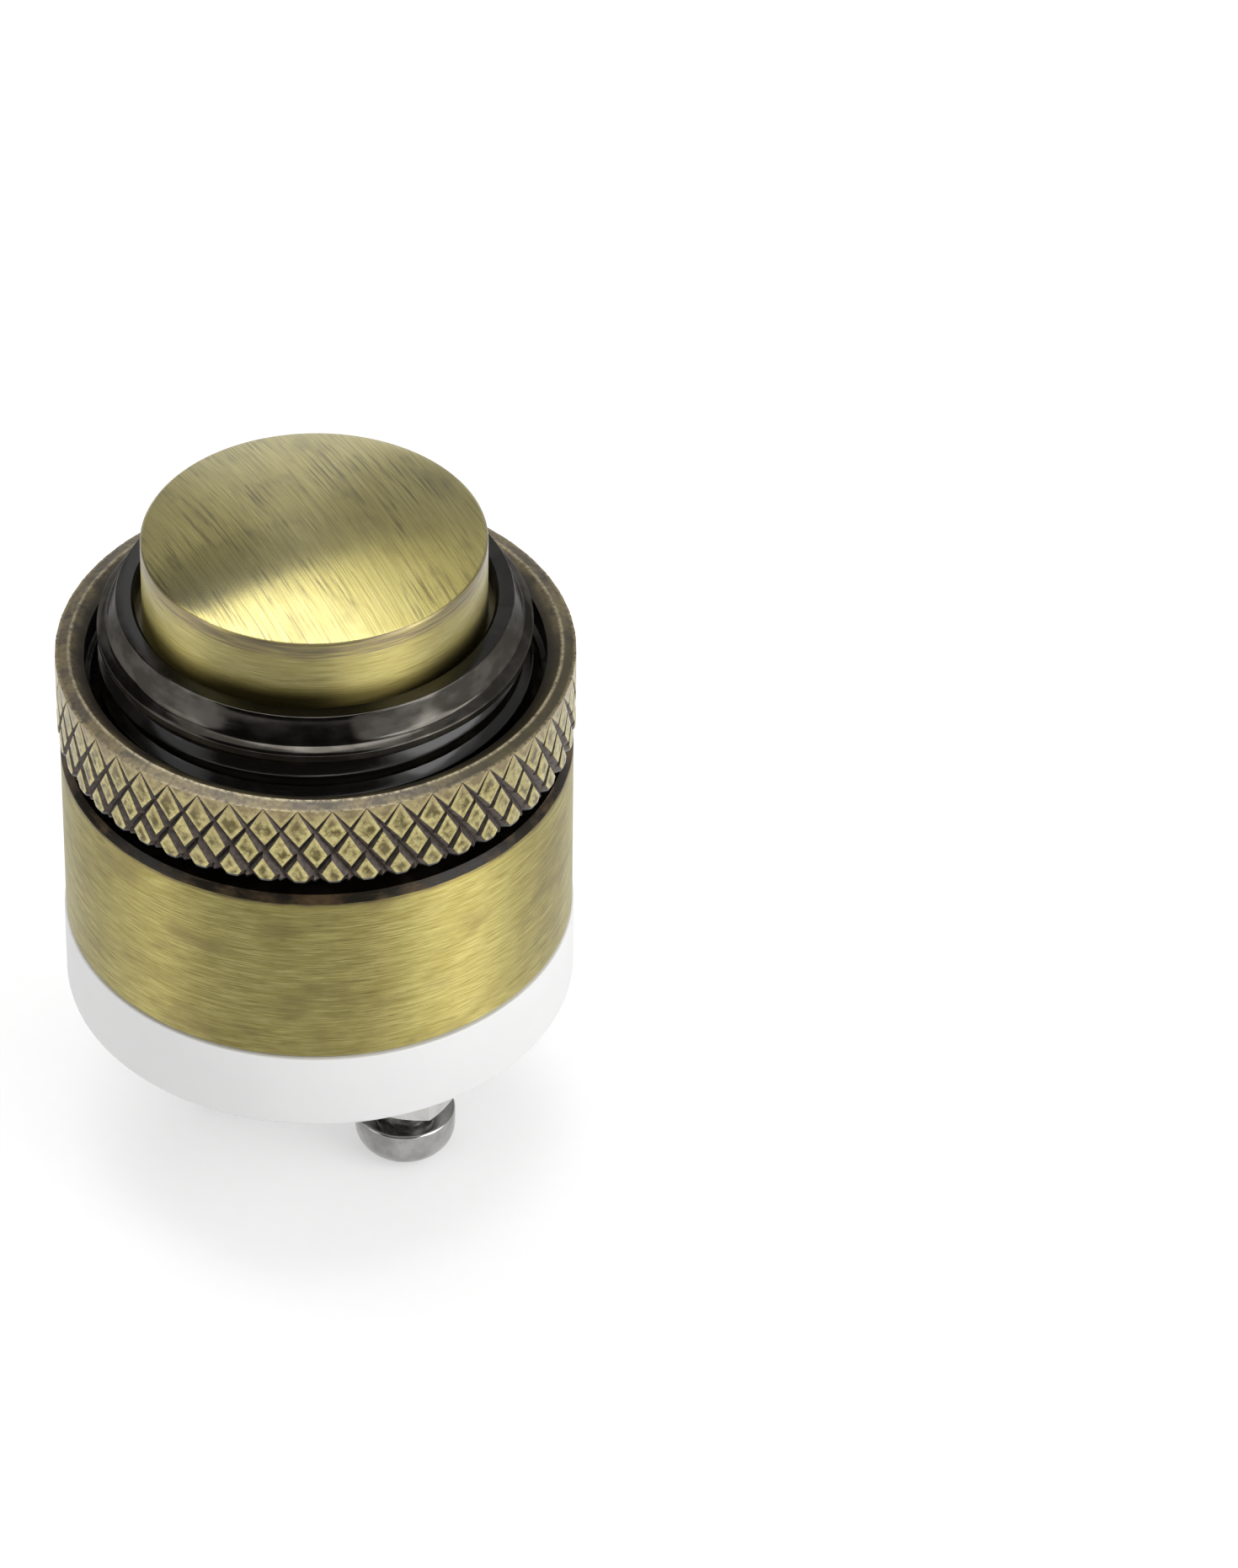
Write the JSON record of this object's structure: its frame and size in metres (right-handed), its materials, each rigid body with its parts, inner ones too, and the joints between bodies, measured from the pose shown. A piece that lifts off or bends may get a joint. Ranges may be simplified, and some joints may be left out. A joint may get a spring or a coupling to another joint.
{
  "type": "doorbell push button",
  "caption": "Round panel-mounted doorbell push: domed brushed brass button in a threaded housing, knurled locking ring, white base and screw terminals for the bell wires.",
  "frame": {"origin": "on the axis, at the sleeve's front shoulder, where the back of the panel rests", "axes": "+Z along the axis out of the panel to the button, X through both terminals"},
  "size_m": [0.0242, 0.0242, 0.0363],
  "materials": {
    "antique_brass": "brushed round the sleeve, dark patina left on bezel, neck and chamfers",
    "knurled_brass": "dark patina in the knurl, worn bright on the diamonds",
    "brushed_brass": "straight brushed dome, brushed round its side",
    "insulator": "moulded, black",
    "contact_brass": "plain rolled",
    "spring_steel": "drawn wire",
    "white_moulding": "matt white",
    "nickel_plate": "satin nickel plate",
    "nickel_screw": "bright nickel plate"
  },
  "bodies": {
    "switch_body": {"housing": "antique_brass", "base": "white_moulding", "fixed_contact_left": "contact_brass", "fixed_contact_right": "contact_brass", "fixing_screw_left": "contact_brass", "fixing_screw_right": "contact_brass", "terminal_post_left": "nickel_plate", "terminal_post_right": "nickel_plate"},
    "button": {"push_button": "brushed_brass", "plunger": "insulator", "contact_bridge": "contact_brass", "return_spring": "spring_steel"},
    "ring": {"ring_nut": "knurled_brass"},
    "screw_left": {"terminal_screw_left": "nickel_screw"},
    "screw_right": {"terminal_screw_right": "nickel_screw"}
  },
  "joints": [
    {"name": "button_press", "type": "slide", "parent": "switch_body", "child": "button", "axis": [0, 0, -1], "range_m": [0, 0.0018], "stiffness_N_per_m": 300, "springref_m": -0.003, "deforming": ["return_spring"]},
    {"name": "ring_lift", "type": "slide", "parent": "switch_body", "child": "ring", "axis": [0, 0, 1], "range_m": [0, 0.014]},
    {"name": "screw_left_out", "type": "slide", "parent": "switch_body", "child": "screw_left", "axis": [0, 0, -1], "range_m": [0, 0.003]},
    {"name": "screw_right_out", "type": "slide", "parent": "switch_body", "child": "screw_right", "axis": [0, 0, -1], "range_m": [0, 0.003]}
  ]
}
